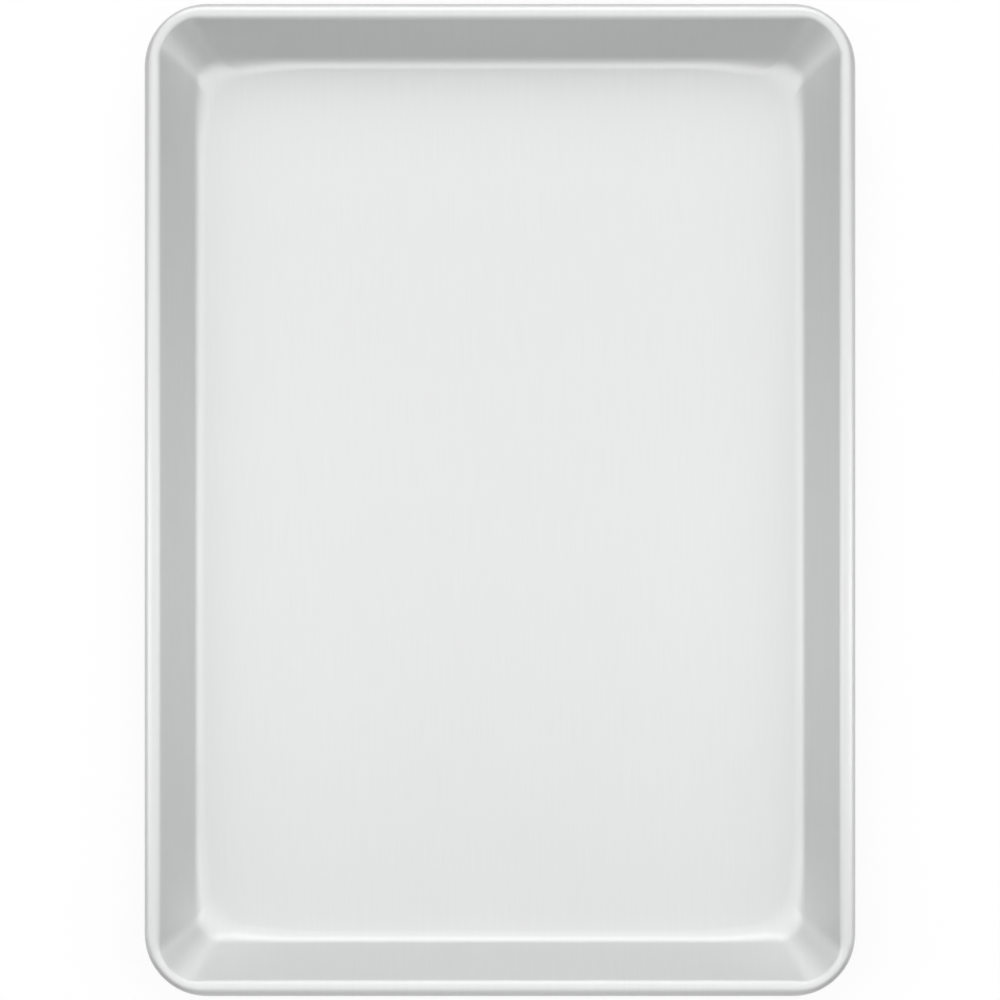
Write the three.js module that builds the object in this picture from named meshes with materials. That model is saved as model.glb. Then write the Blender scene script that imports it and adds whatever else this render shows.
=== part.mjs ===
// Half-size sheet pan: a tray drawn from one aluminium sheet, whose rim is curled round a stiffening steel wire.
// Millimetres, +Z up, length along Y. The origin is the centre of the floor's underside.
import * as THREE from "three";

const { cos, sin, acos, atan2, hypot, min, PI } = Math;
const { degToRad, lerp, smoothstep } = THREE.MathUtils;

// Driving dimensions of the pan
const RIM_LENGTH = 455; // along Y, over the outside of the bead
const RIM_WIDTH = 326; // along X, over the outside of the bead
const INSIDE_DEPTH = 25.4; // from the floor's upper face to the top of the bead
const SHEET_THICKNESS = 1.2;
const WALL_LEAN = degToRad(28.5); // from the vertical, on the straight sides
const FLOOR_FILLET = 6.5; // inside, between the floor and the wall

// Driving dimensions of the corners, in plan
const RIM_CORNER_RADIUS = 29.5; // at the bead's outer edge
const WALL_FOOT_CORNER_RADIUS = 12; // where the wall runs into the fillet
const FLOOR_CORNER_RADIUS = 22; // at the edge of the flat floor

// Driving dimensions of the bead and its wire
const WIRE_DIAMETER = 4;
const WIRE_CLEARANCE = 0.3; // between the wire and the curl that holds it
const BEAD_SLACK = 0.9; // how much the bead's radius grows from the corners, where it is tight, to the sides
const TIGHTENING_LENGTH = 14; // round each end of a corner, over which the bead tightens
const SEAM_GAP = 0.4; // between the curl's cut edge and the outside of the wall
const WIRE_BUTT_GAP = 1.5; // between the wire's two ends

// Facets
const CORNER_STEPS = 12; // in each corner, in plan
const FILLET_STEPS = 6;
const SHOULDER_STEPS = 4; // of the curl, from the wall up to the crown
const OUTSIDE_STEPS = 6; // of the curl, from the crown to its outer edge
const UNDER_STEPS = 11; // of the curl, from its outer edge round to the cut edge
const WIRE_SIDES = 12;

const PAN_HEIGHT = INSIDE_DEPTH + SHEET_THICKNESS;
const WIRE_RADIUS = WIRE_DIAMETER / 2;
const CORNER_BEAD_RADIUS = WIRE_RADIUS + WIRE_CLEARANCE + SHEET_THICKNESS;
const SIDE_BEAD_RADIUS = CORNER_BEAD_RADIUS + BEAD_SLACK;

// A corner's places, as angles from the end of one side to the start of the next.
const CORNER_TURNS = angles(0, PI / 2, CORNER_STEPS);

// Sections are drawn in a plane across the rim: x runs outwards and is 0 at the bead's outer edge, y is height.
const WALL_NORMAL = new THREE.Vector2(-cos(WALL_LEAN), sin(WALL_LEAN)); // out of the wall's upper face
const DOWN_WALL = new THREE.Vector2(-sin(WALL_LEAN), -cos(WALL_LEAN));
const FILLET = filletSection();

// Evenly spaced angles from one to another, both included.
function angles(from, to, steps) {
  return Array.from({ length: steps + 1 }, (_, i) => lerp(from, to, i / steps));
}

function unit(angle) {
  return new THREE.Vector2(cos(angle), sin(angle));
}

// The fillet's upper face on the straight sides, from the floor's edge to the wall's foot, as points with normals.
// The wall is tangent to the bead and to the fillet, so the fillet's centre lies where its height meets the wall's
// line. In plan, the corners sharpen from the floor's radius to the wall foot's, fast at first and then gently.
function filletSection() {
  const centre = new THREE.Vector2(-SIDE_BEAD_RADIUS, PAN_HEIGHT - SIDE_BEAD_RADIUS);
  centre.addScaledVector(WALL_NORMAL, SIDE_BEAD_RADIUS + FLOOR_FILLET);
  centre.addScaledVector(DOWN_WALL, (centre.y - SHEET_THICKNESS - FLOOR_FILLET) / cos(WALL_LEAN));
  return angles(-PI / 2, -WALL_LEAN, FILLET_STEPS).map((angle, i) => ({
    point: centre.clone().addScaledVector(unit(angle), FLOOR_FILLET),
    normal: unit(angle).negate(),
    corner: lerp(WALL_FOOT_CORNER_RADIUS, FLOOR_CORNER_RADIUS, (1 - i / FILLET_STEPS) ** 2),
  }));
}

// The bead's radius at a place in a corner. It is tight on the wire there, and looser along the sides.
function beadRadius(turn) {
  const wayIn = RIM_CORNER_RADIUS * min(turn, PI / 2 - turn);
  return lerp(SIDE_BEAD_RADIUS, CORNER_BEAD_RADIUS, smoothstep(wayIn, 0, TIGHTENING_LENGTH));
}

// The wall's lean at a place in a corner, with the wall straight from its foot up to where it is tangent to the bead.
// The foot's corner is sharper than the rim's, so there the foot lies further in and the wall leans over more.
function wallLean(turn, bead) {
  const { point, corner } = FILLET.at(-1);
  const centreShift = point.x + RIM_CORNER_RADIUS - corner;
  const inset = RIM_CORNER_RADIUS - corner - centreShift * (cos(turn) + sin(turn));
  const run = inset - bead;
  const rise = PAN_HEIGHT - bead - point.y;
  return acos(bead / hypot(run, rise)) - atan2(rise, run);
}

// The angles round the bead that the curl passes at a place in a corner: from the wall's top over the crown and the
// outer edge, and on under the bead until the cut edge comes close to the outside of the wall.
function curlAngles(turn) {
  const bead = beadRadius(turn);
  const wallTop = PI - wallLean(turn, bead);
  const seam = acos((bead - SHEET_THICKNESS - SEAM_GAP) / bead);
  return [
    ...angles(wallTop, PI / 2, SHOULDER_STEPS),
    ...angles(PI / 2, 0, OUTSIDE_STEPS).slice(1),
    ...angles(0, wallTop - 2 * PI + seam, UNDER_STEPS).slice(1),
  ];
}

// A ring round the pan, anticlockwise from the +X side. A section gives x, height and corner radius at each place in
// a corner: the ring is the rim's outline moved out by x, which is negative inside the rim.
function ring(section) {
  const quarters = [[1, 1], [-1, 1], [-1, -1], [1, -1]];
  return quarters.flatMap(([sideX, sideY], quarter) =>
    CORNER_TURNS.map((turn) => {
      const { x, y, corner } = section(turn);
      const arm = unit((quarter * PI) / 2 + turn).multiplyScalar(corner);
      const acrossX = RIM_WIDTH / 2 + x - corner;
      const acrossY = RIM_LENGTH / 2 + x - corner;
      return new THREE.Vector3(sideX * acrossX + arm.x, sideY * acrossY + arm.y, y);
    }),
  );
}

// The rings of the sheet at a depth below its upper face, from the floor's edge to the curl's cut edge. The bead
// keeps a round section through the corners, so there its rings are concentric with the rim.
function sheetFace(depth) {
  const filletRings = FILLET.map(({ point, normal, corner }) => {
    const { x, y } = point.clone().addScaledVector(normal, -depth);
    return ring(() => ({ x, y, corner: corner + x - point.x }));
  });
  const curlRings = curlAngles(0).map((_, i) =>
    ring((turn) => {
      const bead = beadRadius(turn);
      const { x, y } = unit(curlAngles(turn)[i]).multiplyScalar(bead - depth);
      return { x: x - bead, y: y + PAN_HEIGHT - bead, corner: RIM_CORNER_RADIUS + x - bead };
    }),
  );
  return [...filletRings, ...curlRings];
}

// A closed skin over a row of closed rings of equal length, with a flat cap on the first and the last.
function loft(rings) {
  const count = rings[0].length;
  const middle = (points) =>
    points.reduce((sum, p) => sum.add(p), new THREE.Vector3()).divideScalar(points.length);
  const vertices = [...rings.flat(), middle(rings[0]), middle(rings.at(-1))];
  const [firstMiddle, lastMiddle] = [vertices.length - 2, vertices.length - 1];
  const lastRow = (rings.length - 1) * count;
  const index = [];
  for (let i = 0; i < count; i++) {
    const next = (i + 1) % count;
    for (let row = 0; row < lastRow; row += count) {
      const [a, b] = [row + i, row + next];
      index.push(a, a + count, b + count, a, b + count, b);
    }
    index.push(firstMiddle, i, next, lastMiddle, lastRow + next, lastRow + i);
  }
  const geometry = new THREE.BufferGeometry().setFromPoints(vertices);
  geometry.setIndex(index);
  geometry.computeVertexNormals();
  return geometry;
}

// The drawn sheet: its upper face, the cut edge at the end of the curl, and its lower face back to the floor.
function panBody() {
  return loft([...sheetFace(0), ...sheetFace(SHEET_THICKNESS).reverse()]);
}

// The stiffening wire: one length bent round inside the bead, its ends butted half way along the +X side. It lies
// against the upper outer part of the curl, and fills it in the corners.
function rimWire() {
  const towardsCurl = unit(PI / 4);
  const strands = angles(0, 2 * PI, WIRE_SIDES)
    .slice(1)
    .map((angle) => {
      const section = (turn) => {
        const bead = beadRadius(turn);
        const { x, y } = new THREE.Vector2(-bead, PAN_HEIGHT - bead)
          .addScaledVector(towardsCurl, bead - CORNER_BEAD_RADIUS)
          .addScaledVector(unit(angle), WIRE_RADIUS);
        return { x, y, corner: RIM_CORNER_RADIUS + x };
      };
      const { x, y } = section(0);
      const end = (side) => new THREE.Vector3(RIM_WIDTH / 2 + x, (side * WIRE_BUTT_GAP) / 2, y);
      return [end(1), ...ring(section), end(-1)];
    });
  return loft(strands[0].map((_, i) => strands.map((strand) => strand[i])));
}

const satinAluminium = new THREE.MeshStandardMaterial({ color: 0xd3d4d4, roughness: 0.6, metalness: 1 });
const galvanisedSteel = new THREE.MeshStandardMaterial({ color: 0xa9adb0, roughness: 0.5, metalness: 1 });

function piece(name, geometry, material) {
  const mesh = new THREE.Mesh(geometry, material);
  mesh.name = name;
  return mesh;
}

const sheetPan = new THREE.Group();
sheetPan.name = "sheet_pan";
sheetPan.add(piece("pan_body", panBody(), satinAluminium), piece("rim_wire", rimWire(), galvanisedSteel));

export default sheetPan;
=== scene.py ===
"""A half-size sheet pan of satin aluminium on a white floor, seen from straight above.

The pan is one sheet, drawn into a tray and curled round a wire at its rim. Its skin is a section carried
round the pan. Sizes are written in millimetres and put into the meshes in metres.
"""

import math

import bpy
import numpy as np
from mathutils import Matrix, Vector


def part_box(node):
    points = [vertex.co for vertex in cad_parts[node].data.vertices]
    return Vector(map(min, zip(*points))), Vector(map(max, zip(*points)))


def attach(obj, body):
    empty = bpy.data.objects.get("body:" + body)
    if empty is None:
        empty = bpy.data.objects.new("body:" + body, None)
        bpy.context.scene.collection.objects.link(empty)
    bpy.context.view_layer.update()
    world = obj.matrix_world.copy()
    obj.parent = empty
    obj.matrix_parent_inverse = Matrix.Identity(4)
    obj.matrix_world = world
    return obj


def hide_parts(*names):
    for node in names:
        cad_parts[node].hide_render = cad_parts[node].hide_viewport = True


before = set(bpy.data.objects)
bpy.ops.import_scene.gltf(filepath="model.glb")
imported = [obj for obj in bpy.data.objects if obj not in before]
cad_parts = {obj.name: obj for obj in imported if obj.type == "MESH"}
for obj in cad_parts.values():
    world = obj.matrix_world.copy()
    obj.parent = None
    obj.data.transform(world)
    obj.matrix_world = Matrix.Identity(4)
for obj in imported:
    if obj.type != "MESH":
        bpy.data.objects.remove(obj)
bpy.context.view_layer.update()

MM = 0.001

# Sizes of the pan, with the rim's own from the frame
pan_low, pan_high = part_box("pan_body")
RIM_WIDTH, RIM_LENGTH, PAN_HEIGHT = (pan_high - pan_low) / MM
SHEET_THICKNESS = 1.2
WALL_LEAN = math.radians(28.5)  # from the vertical, on the straight sides
FLOOR_FILLET = 6.5  # between the floor and the wall, on the straight sides

# The corners: their radii in plan, and the fillet, which widens up the wall towards them
RIM_CORNER_RADIUS = 29.5
SHARP_CORNER_RADIUS = 9  # where the wall and the floor would meet without a fillet
CORNER_DRAW_IN = 3.8  # of that line, towards the middle of each corner
FLOOR_CORNER_RADIUS = 18  # at the edge of the flat floor
CORNER_FILLET = 16
SOFTENING_LENGTH = 40  # along the sides, before each corner

# The bead and the wire in it
SIDE_BEAD_RADIUS = 4.4
CORNER_BEAD_RADIUS = 3.5
NARROWING_LENGTH = 14  # round each end of a corner
SEAM_GAP = 0.4  # between the curl's cut edge and the outside of the wall
WIRE_RADIUS = 2
WIRE_BUTT_GAP = 1.5

# How finely the surfaces are divided
CORNER_STEPS = 28
SIDE_STEPS = 40
FLOOR_STEPS = 24
FILLET_STEPS = 14
WALL_STEPS = 10
CURL_STEPS = 56
EDGE_STEPS = 6
WIRE_SIDES = 20

# Marks on the metal
ROLL_LINE_WIDTH = 0.9  # really about 0.15, which is too fine to show
ROLL_LINE_LENGTH = 30
ETCH_GRIT = 0.9  # really about 0.3, which is too fine to show
GRIT_STRENGTH = 0.02
ETCH_CLOUD = 60
ZINC_CRYSTAL = 1.2

# Roughness of the metals, at their dullest and at their brightest
DULL_SATIN = 0.58
BRIGHT_SATIN = 0.52
DULL_ZINC = 0.55
BRIGHT_ZINC = 0.42

# The studio: soft panels above the pan and on its four sides, and white all round, which metal sees dimly
PANEL_DISTANCE = 950  # from the middle of the pan to the panels round it
OVERHEAD_HEIGHT = 1250
OVERHEAD_BACK_EDGE = 550
RAISED_FOOT = 300  # of the back and side panels, above the floor
SIDE_FRONT_EDGE = -410
SIDE_BACK_EDGE = 200
FRONT_FOOT = 30
FRONT_HALF = 450  # half the front panel's width
OVERHEAD_LEVEL = 1.27
BACK_LEVEL = 2.63
SIDE_LEVEL = 3.07
FRONT_LEVEL = 0.62
FLOOR_HALF = 3000
SEEN_WHITE = 0.85  # how much of the floor is plain white to the camera, so that shadows stay faint
MIRRORED_WHITE = 0.2  # how white the floor and the room are to the metal, which mirrors their shaded parts

# The camera, with the width that it sees at the height of the bead's middle
CAMERA_DISTANCE = 750
FRAME_WIDTH = 459


def linear(hex_colour):
    """An sRGB hex colour as linear RGBA."""
    srgb = np.array([int(hex_colour[i:i + 2], 16) / 255 for i in (1, 3, 5)])
    rgb = np.where(srgb <= 0.04045, srgb / 12.92, ((srgb + 0.055) / 1.055) ** 2.4)
    return (*rgb, 1.0)


def ease(share):
    """A smooth S-curve from 0 to 1, level at both ends."""
    share = np.clip(share, 0, 1)
    return share * share * (3 - 2 * share)


def way_round():
    """One lap round the pan, anticlockwise from half way along the +X side, as arrays.

    Each place has the outward direction there, and a pair (u, v) that says where the centre of the corner's
    arc stands: at 1 or -1 it is in a corner, and between them it slides along a side, with the places closer
    together near the corners. turn is the angle from the corner's start. The bead's radius narrows from each
    end of a corner. The fillet's widens, and the line where wall and floor would meet draws in, towards the
    middle of a corner from some way before it. All three follow a smooth S-curve.
    """
    turn = np.linspace(0, np.pi / 2, CORNER_STEPS, endpoint=False)
    slide = np.sin(np.linspace(np.pi / 2, -np.pi / 2, SIDE_STEPS, endpoint=False))
    still = np.ones(SIDE_STEPS)
    corner = np.ones(CORNER_STEPS)
    angles, us, vs = [], [], []
    for quarter, (u, v) in enumerate([(1, 1), (-1, 1), (-1, -1), (1, -1)]):
        along_x = quarter % 2 == 0
        angles += [quarter * np.pi / 2 + turn, (quarter + 1) * np.pi / 2 * still]
        us += [u * corner, u * (slide if along_x else still)]
        vs += [v * corner, v * (still if along_x else slide)]
    angle, u, v, turn = (np.roll(np.concatenate(parts), SIDE_STEPS // 2)
                         for parts in (angles, us, vs, [turn, 0 * still] * 4))
    into_corner = (RIM_CORNER_RADIUS * np.minimum(turn, np.pi / 2 - turn)
                   - (RIM_WIDTH / 2 - RIM_CORNER_RADIUS) * (1 - np.abs(u))
                   - (RIM_LENGTH / 2 - RIM_CORNER_RADIUS) * (1 - np.abs(v)))
    narrow = ease(into_corner / NARROWING_LENGTH)
    soft = ease((into_corner + SOFTENING_LENGTH) / (SOFTENING_LENGTH + RIM_CORNER_RADIUS * np.pi / 4))
    return {"cos": np.cos(angle), "sin": np.sin(angle), "u": u, "v": v, "turn": turn,
            "bead": SIDE_BEAD_RADIUS + (CORNER_BEAD_RADIUS - SIDE_BEAD_RADIUS) * narrow,
            "fillet": FLOOR_FILLET + (CORNER_FILLET - FLOOR_FILLET) * soft,
            "draw_in": CORNER_DRAW_IN * soft}


def ring(lap, out, height, corner):
    """A ring round the pan: the rim's outline moved outwards by out, with its own corner radius.

    Each point is the centre of its corner's arc plus the outward direction times the corner radius.
    """
    across = lap["u"] * (RIM_WIDTH / 2 + out - corner) + lap["cos"] * corner
    along = lap["v"] * (RIM_LENGTH / 2 + out - corner) + lap["sin"] * corner
    return np.stack([across, along, np.broadcast_to(height, across.shape)], axis=-1)


def upper_face(lap):
    """The sheet's upper face from near the floor's middle out to the curl's cut edge, as rings of points.

    The wall is straight from a line round the floor, where the two would meet sharply, up to the bead, which
    is a circle. This sharp line draws in towards the corners, so the wall leans over further there. The
    fillet is a conic arc in place of the sharp line, tangent to the floor and to the wall. It starts as far
    up the wall as a circle of its radius would. It ends on the floor's edge, which is the sharp line moved
    in by one length all round and given a corner radius of its own. The floor is its edge drawn in to the
    middle.
    """
    bead = lap["bead"]

    # The sharp line, which lies on the straight sides where their lean puts it
    rise = PAN_HEIGHT - SIDE_BEAD_RADIUS - SHEET_THICKNESS
    run = (SIDE_BEAD_RADIUS + rise * math.sin(WALL_LEAN)) / math.cos(WALL_LEAN)
    sharp_out = -SIDE_BEAD_RADIUS - run - lap["draw_in"]
    sharp = ring(lap, sharp_out, SHEET_THICKNESS, SHARP_CORNER_RADIUS)

    # How far it lies inside the bead's middle, square to the rim, and the lean that this gives the wall
    bend = np.cos(lap["turn"]) + np.sin(lap["turn"]) - 1
    run = -sharp_out + bend * (-sharp_out - RIM_CORNER_RADIUS + SHARP_CORNER_RADIUS) - bead
    rise = PAN_HEIGHT - bead - SHEET_THICKNESS
    lean = np.arccos(bead / np.hypot(run, rise)) - np.arctan2(rise, run)

    seam = np.arccos((bead - SHEET_THICKNESS - SEAM_GAP) / bead)
    share = np.linspace(0, 1, CURL_STEPS + 1)[:, None]
    angle = np.pi - lean - share * (2 * np.pi - seam)
    out = bead * (np.cos(angle) - 1)
    curl = ring(lap, out, PAN_HEIGHT + bead * (np.sin(angle) - 1), RIM_CORNER_RADIUS + out)

    wall_top = curl[0]
    up_wall = wall_top - sharp
    up_wall /= np.linalg.norm(up_wall, axis=-1, keepdims=True)
    tangent_up_wall = lap["fillet"] * np.tan((np.pi / 2 - lean) / 2)
    tangent_on_floor = FLOOR_FILLET * math.tan((math.pi / 2 - WALL_LEAN) / 2)
    foot = sharp + tangent_up_wall[:, None] * up_wall
    floor_edge = ring(lap, sharp_out - tangent_on_floor, SHEET_THICKNESS, FLOOR_CORNER_RADIUS)

    weight = np.sin((np.pi / 2 + lean) / 2)[:, None]
    t = np.linspace(0, 1, FILLET_STEPS + 1)[:, None, None]
    fillet = (1 - t) ** 2 * floor_edge + 2 * weight * t * (1 - t) * sharp + t ** 2 * foot
    fillet /= (1 - t) ** 2 + 2 * weight * t * (1 - t) + t ** 2
    t = np.linspace(0, 1, FLOOR_STEPS, endpoint=False)[1:, None, None]
    floor = floor_edge * np.concatenate([t, t, np.ones_like(t)], axis=-1)
    t = np.linspace(0, 1, WALL_STEPS, endpoint=False)[1:, None, None]
    wall = foot + (wall_top - foot) * t
    return np.concatenate([floor, fillet, wall, curl])


def sheet_skin(lap):
    """The whole skin of the sheet as rings: upper face, rounded cut edge and lower face.

    A normal is the step outwards crossed with the step round the pan. The lower face lies one sheet
    thickness below the upper one, along the normals, and the cut edge is half a circle between the two.
    """
    upper = upper_face(lap)
    around = np.roll(upper, -1, axis=1) - np.roll(upper, 1, axis=1)
    normal = np.cross(np.gradient(upper, axis=0), around)
    normal /= np.linalg.norm(normal, axis=-1, keepdims=True)
    lower = upper - SHEET_THICKNESS * normal
    ahead = np.cross(around[-1], normal[-1])
    ahead /= np.linalg.norm(ahead, axis=-1, keepdims=True)
    turn = np.linspace(0, np.pi, EDGE_STEPS + 1)[1:-1, None, None]
    middle = (upper[-1] + lower[-1]) / 2
    edge = middle + (np.cos(turn) * normal[-1] + np.sin(turn) * ahead) * SHEET_THICKNESS / 2
    return np.concatenate([upper, edge, lower[::-1]])


def wire_skin(lap):
    """The wire as circles along its way round the pan, with a gap between its ends, half way along +X.

    It fills the bead in the corners. Along the sides it lies against the upper outer part of the looser
    curl, so its centre is the bead's, moved up and out by the slack.
    """
    bead = lap["bead"]
    shift = (bead - CORNER_BEAD_RADIUS) * math.sqrt(0.5)
    angle = np.linspace(0, 2 * np.pi, WIRE_SIDES, endpoint=False)[:, None]
    out = shift - bead + WIRE_RADIUS * np.cos(angle)
    height = PAN_HEIGHT + shift - bead + WIRE_RADIUS * np.sin(angle)
    circles = ring(lap, out, height, RIM_CORNER_RADIUS + out).swapaxes(0, 1)
    circles = np.concatenate([circles, circles[:1]])
    circles[[0, -1], :, 1] = [[WIRE_BUTT_GAP / 2], [-WIRE_BUTT_GAP / 2]]
    return circles


def mesh_of_rings(name, rings, material):
    """An object whose mesh joins closed rings by quads, with a fan over the first ring and over the last."""
    rows, count = rings.shape[:2]
    vertices = np.concatenate([rings.reshape(-1, 3), rings[[0, -1]].mean(axis=1)]) * MM
    row, i = np.meshgrid(np.arange(rows - 1) * count, np.arange(count), indexing="ij")
    after = (i + 1) % count
    quads = np.stack([row + i, row + i + count, row + after + count, row + after], axis=-1).reshape(-1, 4)
    first = np.arange(count)
    last = first + (rows - 1) * count
    first_fan = np.stack([np.full(count, rows * count), first, np.roll(first, -1)], axis=-1)
    last_fan = np.stack([np.full(count, rows * count + 1), np.roll(last, -1), last], axis=-1)
    mesh = bpy.data.meshes.new(name)
    mesh.from_pydata(vertices.tolist(), [], quads.tolist() + first_fan.tolist() + last_fan.tolist())
    mesh.polygons.foreach_set("use_smooth", np.ones(len(mesh.polygons), bool))
    mesh.materials.append(material)
    piece = bpy.data.objects.new(name, mesh)
    bpy.context.scene.collection.objects.link(piece)
    return piece


def empty_material(name):
    """A new material and its node tree, with nothing in it yet."""
    material = bpy.data.materials.new(name)
    material.use_nodes = True
    material.node_tree.nodes.clear()
    return material, material.node_tree


def node(tree, kind, inputs, **settings):
    """Adds a node and gives its outputs. An input, by name or number, takes a value or a node's output."""
    made = tree.nodes.new(kind)
    for name, value in settings.items():
        setattr(made, name, value)
    for socket, source in inputs.items():
        if isinstance(source, bpy.types.NodeSocket):
            tree.links.new(source, made.inputs[socket])
        else:
            made.inputs[socket].default_value = source
    return made.outputs


def colour_between(tree, share, start, end):
    """The colour that lies a share of the way from one hex colour to another."""
    inputs = {0: share, 6: linear(start), 7: linear(end)}
    return node(tree, "ShaderNodeMix", inputs, data_type="RGBA")[2]


def satin_aluminium():
    """Aluminium sheet, rolled and then etched to a satin: pale, soft in its reflections, and almost even.

    Rolling leaves lines along the pan's length, slightly duller and darker than the metal between them. The
    etch leaves a fine grit, and clouds so broad and faint that they only keep the floor from looking
    painted.
    """
    material, tree = empty_material("aluminium_rolled_satin")
    place = node(tree, "ShaderNodeTexCoord", {})["Object"]
    along_lines = [1 / (size * MM) for size in (ROLL_LINE_WIDTH, ROLL_LINE_LENGTH, ROLL_LINE_LENGTH)]
    stretched = node(tree, "ShaderNodeMapping", {"Vector": place, "Scale": along_lines})["Vector"]
    lines = node(tree, "ShaderNodeTexNoise", {"Vector": stretched, "Scale": 1, "Detail": 3})["Fac"]
    clouds = node(tree, "ShaderNodeTexNoise", {"Vector": place, "Scale": 1 / (ETCH_CLOUD * MM)})["Fac"]
    grit = node(tree, "ShaderNodeTexNoise", {"Vector": place, "Scale": 1 / (ETCH_GRIT * MM)})["Fac"]
    colour = colour_between(tree, lines, "#cdcdcd", "#cfd0d0")
    brightness = node(tree, "ShaderNodeMath", {0: lines, 1: clouds}, operation="ADD")[0]
    roughness = node(tree, "ShaderNodeMapRange",
                     {"Value": brightness, "From Max": 2, "To Min": DULL_SATIN, "To Max": BRIGHT_SATIN})[0]
    relief = node(tree, "ShaderNodeBump",
                  {"Height": grit, "Strength": GRIT_STRENGTH, "Distance": ETCH_GRIT * MM})["Normal"]
    shader = node(tree, "ShaderNodeBsdfPrincipled",
                  {"Base Color": colour, "Metallic": 1, "Roughness": roughness, "Normal": relief})["BSDF"]
    node(tree, "ShaderNodeOutputMaterial", {"Surface": shader})
    return material


def galvanised_steel():
    """Steel wire dipped in zinc: dull blue-grey, in small crystals of slightly different brightness."""
    material, tree = empty_material("steel_wire_galvanised")
    place = node(tree, "ShaderNodeTexCoord", {})["Object"]
    crystals = node(tree, "ShaderNodeTexVoronoi",
                    {"Vector": place, "Scale": 1 / (ZINC_CRYSTAL * MM)})["Color"]
    brightness = node(tree, "ShaderNodeSeparateXYZ", {"Vector": crystals})["X"]
    colour = colour_between(tree, brightness, "#9da2a5", "#b3b7ba")
    roughness = node(tree, "ShaderNodeMapRange",
                     {"Value": brightness, "To Min": DULL_ZINC, "To Max": BRIGHT_ZINC})[0]
    shader = node(tree, "ShaderNodeBsdfPrincipled",
                  {"Base Color": colour, "Metallic": 1, "Roughness": roughness})["BSDF"]
    node(tree, "ShaderNodeOutputMaterial", {"Surface": shader})
    return material


def white_share(tree, seen):
    """How white the surroundings are: seen to the camera, MIRRORED_WHITE to metal, and 0 to other rays."""
    rays = node(tree, "ShaderNodeLightPath", {})
    to_camera = node(tree, "ShaderNodeMath", {0: rays["Is Camera Ray"], 1: seen}, operation="MULTIPLY")[0]
    mirrored = node(tree, "ShaderNodeMath", {0: rays["Is Glossy Ray"], 1: rays["Is Transmission Ray"]},
                    operation="MAXIMUM")[0]
    return node(tree, "ShaderNodeMath", {0: mirrored, 1: MIRRORED_WHITE, 2: to_camera},
                operation="MULTIPLY_ADD")[0]


def white_board():
    """Matt white board, which is mostly plain white to the camera and a little so to the metal."""
    material, tree = empty_material("board_matt_white")
    board = node(tree, "ShaderNodeBsdfPrincipled",
                 {"Base Color": linear("#f4f4f4"), "Roughness": 1, "Specular IOR Level": 0})["BSDF"]
    white = node(tree, "ShaderNodeEmission", {})["Emission"]
    surface = node(tree, "ShaderNodeMixShader",
                   {0: white_share(tree, SEEN_WHITE), 1: board, 2: white})["Shader"]
    node(tree, "ShaderNodeOutputMaterial", {"Surface": surface})
    return material


def soft_panel(name, low, high, facing, level):
    """A rectangular lamp between two opposite corners, facing one way. At a level of 1 it looks white."""
    low, high = np.array(low) * MM, np.array(high) * MM
    sides = [side for side in high - low if side]
    lamp_data = bpy.data.lights.new(name, "AREA")
    lamp_data.shape = "RECTANGLE"
    lamp_data.size, lamp_data.size_y = sides
    lamp_data.energy = math.pi * sides[0] * sides[1] * level
    lamp = bpy.data.objects.new(name, lamp_data)
    lamp.location = (low + high) / 2
    lamp.rotation_euler = Vector(facing).to_track_quat("-Z", "Y").to_euler()
    lamp.visible_camera = False
    bpy.context.scene.collection.objects.link(lamp)


# The pan
lap = way_round()
pan = mesh_of_rings("pan", sheet_skin(lap), satin_aluminium())
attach(pan, "root")
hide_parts("pan_body")

wire = mesh_of_rings("wire", wire_skin(lap), galvanised_steel())
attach(wire, "root")
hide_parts("rim_wire")

# The floor
floor_mesh = bpy.data.meshes.new("white_floor")
floor_corners = FLOOR_HALF * MM * np.array([(-1, -1, 0), (1, -1, 0), (1, 1, 0), (-1, 1, 0)])
floor_mesh.from_pydata(floor_corners.tolist(), [], [(0, 1, 2, 3)])
floor_mesh.materials.append(white_board())
white_floor = bpy.data.objects.new("white_floor", floor_mesh)
bpy.context.scene.collection.objects.link(white_floor)

# The light: the back and side panels stand clear of the floor, and the gaps leave the pan's corners darker
far, top = PANEL_DISTANCE, OVERHEAD_HEIGHT
soft_panel("overhead", (-far, -far, top), (far, OVERHEAD_BACK_EDGE, top), (0, 0, -1), OVERHEAD_LEVEL)
soft_panel("back", (-far, far, RAISED_FOOT), (far, far, top), (0, -1, 0), BACK_LEVEL)
soft_panel("left", (-far, SIDE_FRONT_EDGE, RAISED_FOOT), (-far, SIDE_BACK_EDGE, top), (1, 0, 0), SIDE_LEVEL)
soft_panel("right", (far, SIDE_FRONT_EDGE, RAISED_FOOT), (far, SIDE_BACK_EDGE, top), (-1, 0, 0), SIDE_LEVEL)
soft_panel("front", (-FRONT_HALF, -far, FRONT_FOOT), (FRONT_HALF, -far, top), (0, 1, 0), FRONT_LEVEL)

world = bpy.data.worlds.new("studio")
world.use_nodes = True
world.node_tree.nodes.clear()
room = node(world.node_tree, "ShaderNodeBackground",
            {"Color": linear("#ffffff"), "Strength": white_share(world.node_tree, 1)})["Background"]
node(world.node_tree, "ShaderNodeOutputWorld", {"Surface": room})
bpy.context.scene.world = world

# The camera, straight above the pan
camera_data = bpy.data.cameras.new("camera")
camera_data.lens = camera_data.sensor_width * CAMERA_DISTANCE / FRAME_WIDTH
camera = bpy.data.objects.new("camera", camera_data)
camera.location = (0, 0, (PAN_HEIGHT - SIDE_BEAD_RADIUS + CAMERA_DISTANCE) * MM)
bpy.context.scene.collection.objects.link(camera)
bpy.context.scene.camera = camera
bpy.context.scene.view_settings.view_transform = "Standard"
